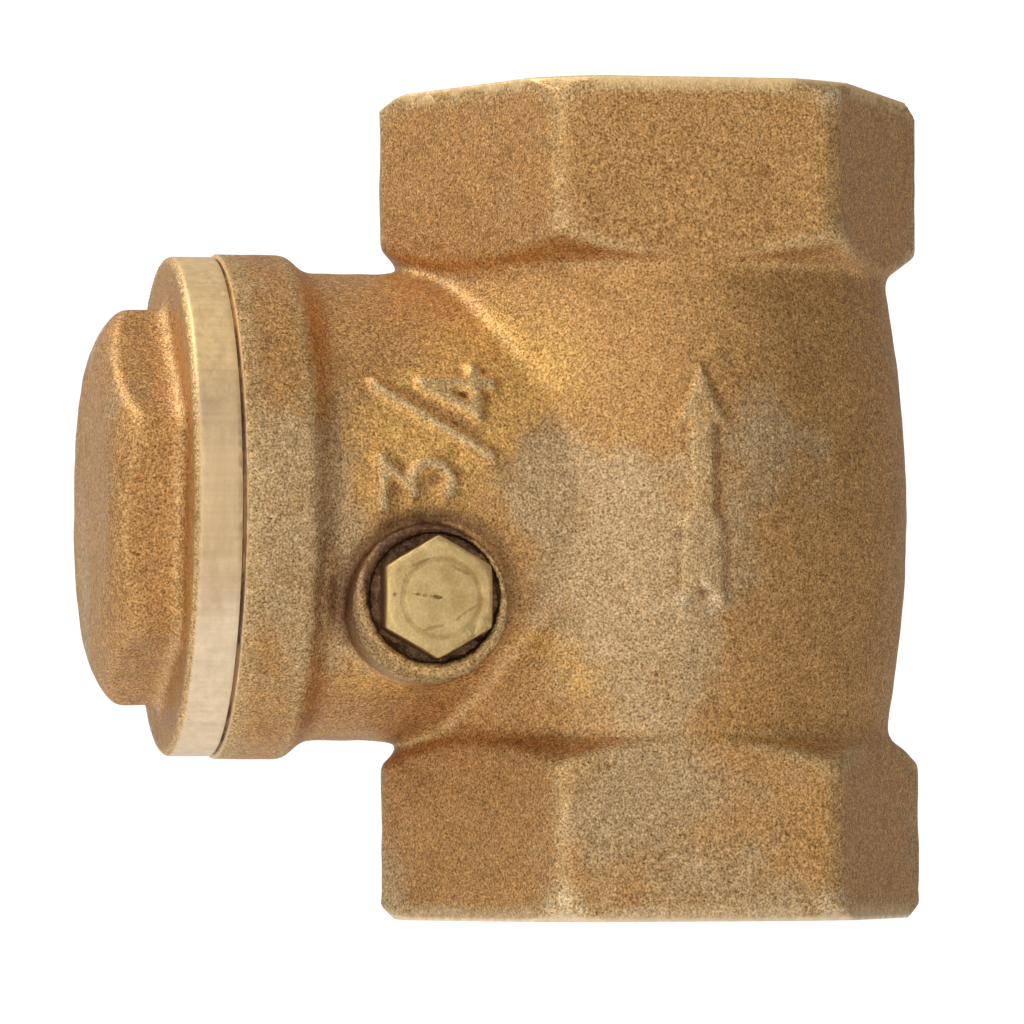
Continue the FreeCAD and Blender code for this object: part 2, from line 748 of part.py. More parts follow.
def disc_bolt(document):
    """Round-headed bolt with a cross hole for the split pin near its end."""
    level = stack_levels()
    edge = size("small_chamfer")
    shoulder = level["seal_face"] - size("retainer_thickness")
    head_low = shoulder - size("bolt_head_height")
    head, shank = size("bolt_head_radius"), size("bolt_radius")
    tip = level["nut_top"] + size("bolt_stickout")
    bolt = turned(document, "disc_bolt_blank", [
        (0, head_low), (head - edge * 2, head_low), (head, head_low + edge * 2), (head, shoulder),
        (shank, shoulder), (shank, tip - edge), (shank - edge, tip), (0, tip),
    ])
    hole = document.addObject("Part::Cylinder", "disc_bolt_cross_hole")
    bind(hole, Radius=size("split_pin_radius") + size("fit_gap"), Height=shank * 3)
    place(hole, at=(0, shank * 1.5, level["nut_top"] + size("bolt_stickout") / 2), axis=ALONG_X, turn=90)
    return on_disc_axis(cut(document, "disc_bolt", bolt, hole))


def disc_washer(document):
    level = stack_levels()
    washer = ring(
        document, "disc_washer", size("bolt_radius") + size("fit_gap"), size("washer_radius"),
        level["washer_low"], level["nut_low"],
    )
    return on_disc_axis(washer)


def disc_nut(document):
    level = stack_levels()
    edge = size("small_chamfer")
    across = size("nut_across_flats")
    reach = across / ROOT_OF_THREE
    prism = hexagon(document, "nut_prism", across, level["nut_low"], level["nut_top"])
    hole = size("bolt_radius") + size("fit_gap")
    blank = turned(document, "nut_blank", [
        (hole, level["nut_low"]), (across / 2, level["nut_low"]), (reach, level["nut_low"] + edge),
        (reach, level["nut_top"] - edge), (across / 2, level["nut_top"]), (hole, level["nut_top"]),
    ])
    return on_disc_axis(overlap(document, "disc_nut", prism, blank))


def split_pin(document):
    """Two straight legs through the bolt, with an eye at one end, above the nut."""
    level = stack_levels()
    radius, length = size("split_pin_radius"), size("split_pin_length")
    height = level["nut_top"] + size("bolt_stickout") / 2
    legs = document.addObject("Part::Cylinder", "split_pin_legs")
    bind(legs, Radius=radius, Height=length)
    place(legs, at=(0, length / 2, height), axis=ALONG_X, turn=90)
    eye = document.addObject("Part::Torus", "split_pin_eye")
    bind(eye, Radius1=radius * 1.7, Radius2=radius * 0.7)
    place(eye, at=(0, length / 2 + radius, height), axis=ALONG_Y, turn=90)
    return on_disc_axis(join(document, "split_pin", legs, eye))


# Checks and files

SUB_PARTS = [
    valve_body, bonnet_cap, bonnet_gasket, hinge_pin, pin_plug, pin_plug_washer, clapper_arm,
    clapper_disc, disc_seal, seal_retainer, disc_bolt, disc_washer, disc_nut, split_pin,
]


def check(document, sub_parts):
    for thing in document.Objects:
        if "Invalid" in thing.State or "Error" in thing.State:
            raise RuntimeError(f"{thing.Name} failed: {thing.State}")
    for thing in sub_parts:
        if thing.Shape.isNull() or not thing.Shape.isValid():
            raise RuntimeError(f"{thing.Label} has no valid shape")
        box = thing.Shape.BoundBox
        print(
            f"{thing.Label}: {len(thing.Shape.Solids)} solid, {thing.Shape.Volume:.1f} mm3,"
            f" x {box.XMin:.2f} {box.XMax:.2f}, y {box.YMin:.2f} {box.YMax:.2f},"
            f" z {box.ZMin:.2f} {box.ZMax:.2f}"
        )


def main():
    document = FreeCAD.newDocument("check_valve")
    write_sheet(document)
    sub_parts = [make(document) for make in SUB_PARTS]
    document.recompute()
    check(document, sub_parts)
    os.makedirs(PARTS_FOLDER, exist_ok=True)
    for thing in sub_parts:
        thing.Shape.exportStep(os.path.join(PARTS_FOLDER, f"{thing.Label}.step"))


main()
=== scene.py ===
"""Looks of the brass swing check valve.

The castings are remade from their CAD solids with the soft edges, blended corners and grain of a sand
casting, the ports get their threads, and every piece gets its own material.
"""
import json
import math

import bpy
import numpy as np
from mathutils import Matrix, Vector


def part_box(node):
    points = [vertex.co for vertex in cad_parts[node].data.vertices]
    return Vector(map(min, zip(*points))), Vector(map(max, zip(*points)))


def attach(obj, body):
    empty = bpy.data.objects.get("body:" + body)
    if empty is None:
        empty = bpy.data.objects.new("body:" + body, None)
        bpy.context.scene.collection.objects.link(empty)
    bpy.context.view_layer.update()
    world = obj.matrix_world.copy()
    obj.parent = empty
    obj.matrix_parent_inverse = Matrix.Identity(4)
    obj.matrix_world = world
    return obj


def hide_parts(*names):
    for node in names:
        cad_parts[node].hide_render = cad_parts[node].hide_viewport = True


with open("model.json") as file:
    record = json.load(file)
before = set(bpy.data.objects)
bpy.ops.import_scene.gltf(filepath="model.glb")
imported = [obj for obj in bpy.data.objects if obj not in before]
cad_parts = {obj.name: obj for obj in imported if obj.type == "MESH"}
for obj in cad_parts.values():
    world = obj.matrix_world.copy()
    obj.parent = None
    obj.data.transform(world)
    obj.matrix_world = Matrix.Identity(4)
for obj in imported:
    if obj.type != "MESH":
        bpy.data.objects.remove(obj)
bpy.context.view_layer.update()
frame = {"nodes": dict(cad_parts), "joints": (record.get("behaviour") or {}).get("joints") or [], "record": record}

import openvdb
from mathutils import Matrix, Vector

MM = 0.001

# Places read from the frame, in millimetres
MOUNTS = {mount["name"]: mount for mount in frame["record"]["mounts"]}
JOINTS = {joint["name"]: joint for joint in frame["joints"]}
PIN = np.array(JOINTS["clapper_swing"]["pos_m"]) / MM
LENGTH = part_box("valve_body")[1].z / MM
MIDDLE = LENGTH / 2
RIM_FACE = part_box("valve_body")[0].x / MM
CAP_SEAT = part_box("bonnet_gasket")[0].x / MM
FLANGE_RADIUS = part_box("bonnet_cap")[1].y / MM
PLUG_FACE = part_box("pin_plug")[0].y / MM
PORT_RADIUS = MOUNTS["inlet_port"]["dims"]["r_mm"]
OUTLET_DEPTH = MOUNTS["outlet_port"]["dims"]["length_mm"]

# Sizes that the frame does not hold, in millimetres
THREADED_DEPTH = 12.5           # of the room in both ports, and of the inlet's thread
THREAD_PITCH = 25.4 / 14
THREAD_HEIGHT = 1.16
THREAD_BORE = PORT_RADIUS + THREAD_HEIGHT + 0.1
MOUTH_CHAMFER = 0.9
FLANGE_THICKNESS = 3.3          # of the cap's turned flange
FLOW_BORE, BONNET_BORE = 15.9, 14.9     # radii that only the inside of the body lies within
RECESS_RADIUS = 4.7             # round the plug's head
BARREL_FRONT = -11.0            # Y behind which the front's patches and marks fade out
BOSS_FRONT = -13.0              # Y in front of which only the plug's boss reaches

# The pieces' meshes
BODY_VOXEL, CAP_VOXEL, PLUG_VOXEL = 0.22, 0.2, 0.1
MOST_TRIANGLES = 190_000
HIDDEN_THINNING = 0.85          # share of the hidden surface's triangles that go first
SHARPEST_SMOOTH = math.radians(38)


# Castings, as distance fields on a grid


class Field:
    """A signed distance to a solid's surface, negative inside, on a cubic grid in millimetres."""

    def __init__(self, node, voxel, reach=3.0):
        self.voxel = voxel
        self.box = [np.array(corner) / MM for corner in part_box(node)]
        mesh = frame["nodes"][node].data
        mesh.calc_loop_triangles()
        points = np.empty(len(mesh.vertices) * 3, np.float32)
        mesh.vertices.foreach_get("co", points)
        corners = np.empty(len(mesh.loop_triangles) * 3, np.int32)
        mesh.loop_triangles.foreach_get("vertices", corners)
        level_set = openvdb.FloatGrid.createLevelSetFromPolygons(
            points.reshape(-1, 3) / MM,
            triangles=corners.reshape(-1, 3).astype(np.uint32),
            transform=openvdb.createLinearTransform(voxelSize=voxel),
            halfWidth=reach / voxel,
        )
        low, high = level_set.evalActiveVoxelBoundingBox()
        self.low = low
        self.values = np.empty([high[i] - low[i] + 1 for i in range(3)], np.float32)
        level_set.copyToArray(self.values, ijk=low)

    def axes(self):
        """X, Y and Z of the grid's points, each shaped to spread over the grid."""
        steps = [(np.arange(n) + self.low[i]) * self.voxel for i, n in enumerate(self.values.shape)]
        return steps[0][:, None, None], steps[1][None, :, None], steps[2][None, None, :]

    def blurred(self, width):
        """The field after a Gaussian blur of a width in millimetres."""
        reach = int(math.ceil(width * 2.6 / self.voxel))
        weights = np.exp(-0.5 * (np.arange(-reach, reach + 1) * self.voxel / width) ** 2)
        weights /= weights.sum()
        values = self.values
        for axis in range(3):
            padding = [(reach, reach) if i == axis else (0, 0) for i in range(3)]
            padded = np.pad(values, padding, mode="edge")
            count = values.shape[axis]
            total = np.zeros_like(values)
            for start, weight in enumerate(weights):
                window = [slice(start, start + count) if i == axis else slice(None) for i in range(3)]
                total += padded[tuple(window)] * np.float32(weight)
            values = total
        return values

    def sample(self, values, points):
        """A grid's values at points in millimetres, read between the grid's own points."""
        place = points / self.voxel - np.array(self.low)
        cell = np.clip(np.floor(place).astype(int), 0, np.array(values.shape) - 2)
        part = np.clip(place - cell, 0, 1)
        result = np.zeros(len(points))
        for corner in np.ndindex(2, 2, 2):
            weight = np.prod(np.where(corner, part, 1 - part), axis=1)
            i, j, k = (cell + corner).T
            result += weight * values[i, j, k]
        return result

    def piece(self, name, hidden=None):
        """The surface as a smooth-shaded piece, thinned to what the export keeps whole.

        hidden picks points, from X, Y and Z in millimetres, that are thinned first.
        """
        grid = openvdb.FloatGrid(float(self.values.max()))
        grid.copyFromArray(self.values, ijk=self.low)
        grid.transform = openvdb.createLinearTransform(voxelSize=self.voxel)
        points, quads = grid.convertToQuads(isovalue=0.0)
        piece = new_piece(name, points, np.asarray(quads)[:, ::-1])
        thin(piece, MOST_TRIANGLES, hidden)
        inside_box = np.clip(points_of(piece), *self.box) * MM
        piece.data.vertices.foreach_set("co", inside_box.ravel())
        return piece


def new_piece(name, points, faces):
    """A smooth-shaded mesh from points in millimetres."""
    mesh = bpy.data.meshes.new(name)
    mesh.from_pydata((np.asarray(points) * MM).tolist(), [], [list(map(int, face)) for face in faces])
    mesh.shade_smooth()
    piece = bpy.data.objects.new(name, mesh)
    bpy.context.scene.collection.objects.link(piece)
    return piece


def thin(piece, most, hidden=None):
    """Takes triangles away until at most a number are left, first from the points that hidden picks."""
    count = sum(len(polygon.vertices) - 2 for polygon in piece.data.polygons)
    if count <= most:
        return
    if hidden is not None:
        chosen = np.flatnonzero(hidden(*points_of(piece).T))
        group = piece.vertex_groups.new(name="hidden")
        group.add(chosen.tolist(), 1.0, "REPLACE")
        share = len(chosen) / len(piece.data.vertices)
        first = piece.modifiers.new("ThinHidden", "DECIMATE")
        first.vertex_group = group.name
        first.ratio = 1 - HIDDEN_THINNING * share
        count *= first.ratio
    second = piece.modifiers.new("Thin", "DECIMATE")
    second.ratio = most / count
    seen = piece.evaluated_get(bpy.context.evaluated_depsgraph_get())
    thinned = bpy.data.meshes.new_from_object(seen)
    piece.modifiers.clear()
    piece.vertex_groups.clear()
    piece.data = thinned
    thinned.shade_smooth()
    thinned.set_sharp_from_angle(angle=SHARPEST_SMOOTH)


def points_of(piece):
    """A piece's points, in millimetres."""
    points = np.empty(len(piece.data.vertices) * 3)
    piece.data.vertices.foreach_get("co", points)
    return points.reshape(-1, 3) / MM


def mark(piece, **values):
    """Gives a piece's points numbers that its material reads."""
    for name, numbers in values.items():
        attribute = piece.data.attributes.new(name, "FLOAT", "POINT")
        attribute.data.foreach_set("value", np.asarray(numbers, np.float32))


def ease(low, high, x):
    """0 below low and 1 above high, with a smooth rise between."""
    t = np.clip((x - low) / (high - low), 0, 1)
    return t * t * (3 - 2 * t)


def lumps(x, y, z, wavelength, seed):
    """A smooth uneven pattern between about -1 and 1, from sine waves in random directions."""
    random = np.random.default_rng(seed)
    waves = 9
    total = 0
    for _ in range(waves):
        direction = random.normal(size=3)
        direction *= 2 * math.pi / wavelength / np.linalg.norm(direction) * random.uniform(0.7, 1.4)
        phase = random.uniform(0, 2 * math.pi)
        total = total + np.sin(direction[0] * x + direction[1] * y + direction[2] * z + phase)
    return total / waves ** 0.5 / 1.6


def near_marks(x, y, z):
    """1 over the raised size mark and flow arrow, where small shapes are kept, and 0 away from them."""
    def box(value, low, high):
        return ease(low - 0.8, low, value) * ease(high + 0.8, high, value)
    size_mark = box(x, -22.8, -13.2) * box(z, 27.2, 38.8)
    arrow = box(x, -2.6, 2.6) * box(z, 20.8, 39.0)
    return np.maximum(size_mark, arrow) * (y < BARREL_FRONT)


def spots(x, y, z, places):
    """1 at each of some places, given as x, y, z and radius, falling to 0 round them."""
    total = 0
    for px, py, pz, radius in places:
        total = total + np.exp(-((x - px) ** 2 + (y - py) ** 2 + (z - pz) ** 2) / radius ** 2)
    return total


def front_patches(x, y, z, places):
    """A share at each of some places on the front, given as x, z, radius and share, fading round them."""
    total = 0
    for px, pz, radius, share in places:
        total = total + share * np.exp(-0.5 * ((x - px) ** 2 + (z - pz) ** 2) / radius ** 2)
    return np.clip(total, 0, 1) * ease(BARREL_FRONT + 3, BARREL_FRONT, y)


def dull_patches(x, y, z):
    """How far the skin has gone from golden to dull olive grey, in patches."""
    front = front_patches(x, y, z, [
        (-10.8, 29.8, 2.2, 0.8), (-7.2, 28.6, 2.6, 0.7), (-4.2, 27.0, 4.2, 0.8), (4.6, 33.5, 3.0, 0.7),
        (-2.8, 18.5, 4.2, 0.95), (1.0, 6.0, 6.0, 0.9), (-6.4, 8.5, 2.2, 0.6),
        (-28.0, 29.0, 4.5, 0.95), (-27.5, 20.0, 3.5, 0.8)])
    around = ease(0.1, 0.8, lumps(x, y, z, 20.0, 6)) * ease(-6, 2, y)
    return np.clip(front + around * 0.8, 0, 1)


def golden_patches(x, y, z):
    """How far the skin is still bright and golden, with a painted highlight on the cap's upper facet."""
    front = front_patches(x, y, z, [
        (-12.0, 38.5, 3.4, 1.0), (-18.5, 33.5, 4.0, 1.0), (-7.5, 19.5, 3.2, 1.0), (-21.0, 15.5, 3.0, 0.8),
        # the last place is a painted highlight on the cap's upper facet, where light from above-left falls
        (-37.5, 41.5, 2.2, 1.0)])
    around = ease(0.3, 0.9, lumps(x, y, z, 16.0, 12)) * ease(-6, 2, y)
    return np.clip(front + 0.5 * around, 0, 1)


def inside_bores(x, y, z):
    """Where a place on the body's surface is inside it, in the flow's bore or the bonnet's."""
    return (np.hypot(x, y) < FLOW_BORE) | ((np.hypot(y, z - MIDDLE) < BONNET_BORE) & (x < 0))


def cast_body():
    """The body: as-cast skin outside, crisp turned faces, dirt round the plug, room for the threads."""
    field = Field("valve_body", BODY_VOXEL)
    x, y, z = field.axes()
    around_flow = np.hypot(x, y)
    around_bonnet = np.hypot(y, z - MIDDLE)
    around_pin = np.hypot(x - PIN[0], z - PIN[2])
    end_distance = np.minimum(z, LENGTH - z)

    # the skin is as cast on the outside, away from the turned ends, the bonnet's rim and the bores
    outside = (around_flow > FLOW_BORE + 0.4) & ((around_bonnet > BONNET_BORE + 0.3) | (x > 0))
    off_turned_faces = np.minimum(ease(1.2, 2.2, end_distance), ease(RIM_FACE + 0.3, RIM_FACE + 0.9, x))
    cast = outside * off_turned_faces

    # corners are blended most where the bonnet's neck meets the barrel, and least at the marks and the boss
    sharp = field.values
    crisp, fine, middle, broad, flowing = (field.blurred(width) for width in (0.14, 0.3, 0.55, 1.0, 2.2))
    from_middle = np.abs(z - MIDDLE)
    crotch = ease(13.2, 10.5, from_middle) * ease(-5, -9, x)
    waist = ease(11.5, 7.0, from_middle) * ease(-16, -13, x) * ease(-2, -4, x)
    fillet = np.minimum(middle, broad * crotch + middle * (1 - crotch))
    fillet = np.minimum(fillet, flowing * waist + fillet * (1 - waist))
    skin = np.minimum(fine, fillet)
    marks = near_marks(x, y, z)
    boss = ease(7.4, 6.2, around_pin) * (y < BOSS_FRONT)
    skin = skin + np.maximum(marks, boss) * (crisp - skin)
    uneven = 0.05 * lumps(x, y, z, 7.0, 1) + 0.03 * lumps(x, y, z, 2.6, 2)
    worn_marks = marks * 0.02 * lumps(x, y, z, 1.3, 8)
    field.values = (sharp + cast * (skin + uneven + worn_marks - sharp)).astype(np.float32)

    # dirt packed round the plug
    dirt_top = PLUG_FACE + 2.75 + 0.18 * lumps(x, y, z, 1.2, 9)
    dirt = np.maximum(around_pin - RECESS_RADIUS, np.maximum(dirt_top - y, y + 15.2))
    field.values = np.minimum(field.values, dirt)

    # room for the threads, and the chamfer at each port's mouth
    port = np.maximum(around_flow - THREAD_BORE, end_distance - THREADED_DEPTH)
    mouth = (around_flow + end_distance - THREAD_BORE - MOUTH_CHAMFER) * math.sqrt(0.5)
    field.values = np.maximum(field.values, -np.minimum(port, mouth)).astype(np.float32)

    piece = field.piece("body_casting", hidden=inside_bores)
    points = points_of(piece)
    mark_body(piece, *(field.sample(blur + cast * uneven, points) for blur in (fine, middle, broad)))
    return piece


def mark_body(piece, fine, middle, broad):
    """The body material's numbers, given its blurred distances at the piece's points."""
    x, y, z = points_of(piece).T
    around_pin = np.hypot(x - PIN[0], z - PIN[2])
    end_distance = np.minimum(z, LENGTH - z)
    ends = ease(0.45, 0.15, end_distance)
    rim = ease(RIM_FACE + 0.16, RIM_FACE + 0.02, x)
    bores = inside_bores(x, y, z) * ease(0.3, 0.6, end_distance)

    # dirt in the plug's recess and out over the boss to the upper left; painted shadow in the corner round the
    # boss
    upper_left = (0.75 * (z - PIN[2]) - 0.45 * (x - PIN[0])) / np.maximum(around_pin, 0.1)
    dirt_edge = RECESS_RADIUS + 0.05 + 0.75 * ease(0.1, 0.8, upper_left) + 0.15 * lumps(x, y, z, 1.1, 11)
    grime = ease(dirt_edge, dirt_edge - 0.35, around_pin) * ease(-19.2, -17.6, y) * (y < BOSS_FRONT - 1)
    stain = ease(5.2, 5.45, around_pin) * ease(6.8, 5.7, around_pin) * (0.75 + 0.25 * upper_left)

    marks = near_marks(x, y, z)
    # painted shade along the foot of the raised size mark and flow arrow
    shade_at_foot_of_marks = 0.22 * marks * ease(-0.01, -0.08, middle)
    mark(piece, hollow=shade_at_foot_of_marks - broad, crease=-fine, raised=marks * ease(0.03, 0.12, middle),
         turned=np.maximum(np.maximum(ends, rim), bores), grime=grime, stain=stain * (y < BOSS_FRONT),
         dull=dull_patches(x, y, z), golden=golden_patches(x, y, z),
         scuff=spots(x, y, z, [(-1.4, -18.0, 22.0, 0.5), (1.1, -18.2, 21.9, 0.6), (0.2, -18.4, 23.2, 0.4),
                               (-9.6, -17.3, 0.6, 1.5), (9.8, -17.2, 0.8, 1.2), (10.0, -17.0, 57.0, 1.0)]))


def cast_cap():
    """The cap: as-cast head and flange face, with the flange's edge and underside turned."""
    field = Field("bonnet_cap", CAP_VOXEL)
    x, y, z = field.axes()
    flange_face = CAP_SEAT - FLANGE_THICKNESS
    head = ease(flange_face + 0.25, flange_face - 0.1, x)
    edge_of_flange = ease(FLANGE_RADIUS - 1.2, FLANGE_RADIUS - 0.4, np.hypot(y, z - MIDDLE))
    cast = head * (1 - edge_of_flange)
    sharp = field.values
    fine, middle, broad = (field.blurred(width) for width in (0.36, 0.6, 0.7))
    skin = np.minimum(fine, middle)
    uneven = 0.05 * lumps(x, y, z, 6.0, 3) + 0.03 * lumps(x, y, z, 2.4, 4)
    field.values = (sharp + cast * (skin + uneven - sharp)).astype(np.float32)

    piece = field.piece("cap_casting")
    points = points_of(piece)
    x, y, z = points.T
    around_bonnet = np.hypot(y, z - MIDDLE)
    band = ease(FLANGE_RADIUS - 0.25, FLANGE_RADIUS - 0.1, around_bonnet)
    band *= ease(flange_face + 0.24, flange_face + 0.38, x)
    under = ease(flange_face + 0.6, flange_face + 0.9, x) * (around_bonnet < FLANGE_RADIUS - 0.25)
    mark(piece, hollow=-field.sample(broad + cast * uneven, points),
         crease=-field.sample(fine + cast * uneven, points), turned=np.maximum(band, under),
         dull=dull_patches(x, y, z), golden=golden_patches(x, y, z),
         scuff=spots(x, y, z, [(-39.2, 0.0, 40.4, 1.3), (-37.4, -4.5, 35.8, 0.9), (-38.2, -3.0, 37.4, 0.6)]))
    return piece


def soft_plug():
    """The plug, with its outer edges softened and chipped."""
    field = Field("pin_plug", PLUG_VOXEL, reach=1.5)
    x, y, z = field.axes()
    sharp = field.values
    fine, broad = field.blurred(0.1), field.blurred(0.35)
    head = ease(PLUG_FACE + 3.2, PLUG_FACE + 2.8, y)
    chips = 0.035 * np.clip(lumps(x, y, z, 1.1, 5), 0, 1) * (broad > 0.05)
    field.values = (sharp + head * (fine + chips - sharp)).astype(np.float32)
    piece = field.piece("plug_head")
    points = points_of(piece)
    mark(piece, hollow=-field.sample(broad, points), crease=-field.sample(fine, points))
    return piece


# Threads


def thread(name, mouth, inward, depth):
    """A port's internal thread: a sleeve in the casting, from just inside the mouth to a depth.

    mouth is the port's Z and inward is 1 or -1, the way into the port along Z.
    """
    around, rows = 144, 96
    start, outer = MOUTH_CHAMFER - 0.1, THREAD_BORE + 0.25
    turns = np.arange(around) / around
    depths = np.linspace(start, depth, rows)
    phase = (depths[:, None] / THREAD_PITCH - turns[None, :]) % 1.0
    ridge = np.abs(phase - 0.5) * 2
    height = np.clip(ridge * 1.35 - 0.17, 0, 1)
    height = height * height * (3 - 2 * height)
    run_out = ease(depth - 0.4, depth - 1.6, depths)[:, None]
    radius = PORT_RADIUS + THREAD_HEIGHT * height * run_out
    radius = np.maximum(radius, THREAD_BORE + MOUTH_CHAMFER - depths[:, None])
    angle = 2 * math.pi * turns[None, :] * inward
    inner = np.stack([radius * np.cos(angle), radius * np.sin(angle),
                      np.broadcast_to(mouth + inward * depths[:, None], radius.shape)], axis=-1)
    ring = np.stack([outer * np.cos(angle[0]), outer * np.sin(angle[0])], axis=-1)
    shell = [np.column_stack([ring, np.full(around, mouth + inward * d)]) for d in (depth, start)]
    points = np.concatenate([inner.reshape(-1, 3)] + shell)
    faces = []
    loops = rows + 2
    for row in range(loops):
        below, above = row * around, (row + 1) % loops * around
        for i in range(around):
            j = (i + 1) % around
            faces.append((below + i, above + i, above + j, below + j))
    return new_piece(name, points, faces)


# Materials


class Material:
    """A node material: one Principled shader, and short calls that add and join the nodes that feed it."""

    def __init__(self, name, **sockets):
        self.material = bpy.data.materials.new(name)
        self.material.use_nodes = True
        self.tree = self.material.node_tree
        self.tree.nodes.clear()
        output = self.tree.nodes.new("ShaderNodeOutputMaterial")
        self.shader = self.tree.nodes.new("ShaderNodeBsdfPrincipled")
        self.tree.links.new(self.shader.outputs[0], output.inputs[0])
        for socket, value in sockets.items():
            self.feed(self.shader, socket.replace("_", " "), value)
        self.place = self.node("ShaderNodeTexCoord").outputs["Object"]

    def feed(self, node, socket, value):
        """Joins an output to a socket, or sets the socket to a constant."""
        if isinstance(value, bpy.types.NodeSocket):
            self.tree.links.new(value, node.inputs[socket])
        else:
            node.inputs[socket].default_value = value

    def node(self, kind, settings=None, inputs=None):
        """A new node with its settings, and its sockets fed."""
        node = self.tree.nodes.new(kind)
        for name, value in (settings or {}).items():
            setattr(node, name, value)
        for socket, value in (inputs or {}).items():
            self.feed(node, socket, value)
        return node

    def stretched(self, x, y, z):
        """Object coordinates scaled along each axis."""
        mapping = self.node("ShaderNodeMapping", {"vector_type": "POINT"},
                            {"Vector": self.place, "Scale": (x, y, z)})
        return mapping.outputs[0]

    def noise(self, size_mm, detail=2.0, roughness=0.5, at=None, seed=0.0):
        """Noise with lumps of about a size in millimetres, from 0 to 1."""
        return self.node("ShaderNodeTexNoise", {"noise_dimensions": "4D"}, {
            "Vector": at or self.place, "W": seed, "Scale": 0.5 / (size_mm * MM), "Detail": detail,
            "Roughness": roughness}).outputs[0]

    def cells(self, size_mm, seed=0.0):
        """Distance from the middle of the nearest of many cells of about a size in millimetres."""
        return self.node("ShaderNodeTexVoronoi", {"voronoi_dimensions": "4D", "feature": "F1"}, {
            "Vector": self.place, "W": seed, "Scale": 1 / (size_mm * MM)}).outputs["Distance"]

    def math(self, operation, a, b=0.0, clamp=False):
        settings = {"operation": operation, "use_clamp": clamp}
        return self.node("ShaderNodeMath", settings, {0: a, 1: b}).outputs[0]

    def ranged(self, value, low, high, to_low=0.0, to_high=1.0):
        """A value taken smoothly from one range to another, and held at the second range's ends."""
        return self.node("ShaderNodeMapRange", {"interpolation_type": "SMOOTHSTEP"}, {
            "Value": value, "From Min": low, "From Max": high, "To Min": to_low,
            "To Max": to_high}).outputs[0]

    def linear(self, value, low, high, to_low=0.0, to_high=1.0):
        """A value taken straight from one range to another, and on beyond it."""
        return self.node("ShaderNodeMapRange", {"clamp": False}, {
            "Value": value, "From Min": low, "From Max": high, "To Min": to_low,
            "To Max": to_high}).outputs[0]

    def mix(self, share, a, b, blend="MIX"):
        """A colour between two, or one blended with the other."""
        node = self.node("ShaderNodeMix", {"data_type": "RGBA", "blend_type": blend})
        self.feed(node, 0, share)
        self.feed(node, 6, a)
        self.feed(node, 7, b)
        return node.outputs[2]

    def grey(self, value):
        node = self.node("ShaderNodeCombineColor")
        for socket in range(3):
            self.feed(node, socket, value)
        return node.outputs[0]

    def shaded(self, colour, value):
        """A colour made lighter or darker by a number."""
        return self.mix(1.0, colour, self.grey(value), "MULTIPLY")

    def number(self, name):
        """One of the numbers that mark gave to the piece's points."""
        return self.node("ShaderNodeAttribute", {"attribute_name": name}).outputs["Fac"]

    def away_from(self, centre):
        """Distance in millimetres from a line along Y through x, z."""
        shifted = self.node("ShaderNodeVectorMath", {"operation": "SUBTRACT"}, {
            0: self.place, 1: (centre[0] * MM, 0, centre[1] * MM)}).outputs[0]
        flat = self.node("ShaderNodeVectorMath", {"operation": "MULTIPLY"}, {
            0: shifted, 1: (1 / MM, 0, 1 / MM)}).outputs[0]
        return self.node("ShaderNodeVectorMath", {"operation": "LENGTH"}, {0: flat}).outputs["Value"]

    def axis_mm(self, axis):
        """X, Y or Z in millimetres, by its number."""
        return self.math("DIVIDE", self.node("ShaderNodeSeparateXYZ", {}, {0: self.place}).outputs[axis], MM)

    def scratch(self, start, end, width):
        """1 on a ragged straight scratch from one x, z to another, 0 off it."""
        length = math.hypot(end[0] - start[0], end[1] - start[1])
        path = self.math("ADD", self.away_from(start), self.away_from(end))
        wobble = self.linear(self.noise(0.3, 2.0, seed=12.0), 0.3, 0.7, -0.02, 0.03)
        excess = self.math("ADD", self.math("SUBTRACT", path, length), wobble)
        return self.ranged(excess, width ** 2 * 4 / length + 0.02, 0.0)

    def bump(self, height, depth_mm):
        """Surface relief from a height of 0 to 1."""
        return self.node("ShaderNodeBump", {}, {
            "Strength": 1.0, "Distance": depth_mm * MM, "Height": height}).outputs[0]

    def finish(self, **sockets):
        """The material, with the shader's last sockets fed."""
        for socket, value in sockets.items():
            self.feed(self.shader, socket.replace("_", " "), value)
        return self.material


def rgb(red, green, blue):
    """A linear colour from 0 to 255 values as a screen shows them."""
    def linear(value):
        value /= 255
        return value / 12.92 if value <= 0.04045 else ((value + 0.055) / 1.055) ** 2.4
    return (linear(red), linear(green), linear(blue), 1.0)


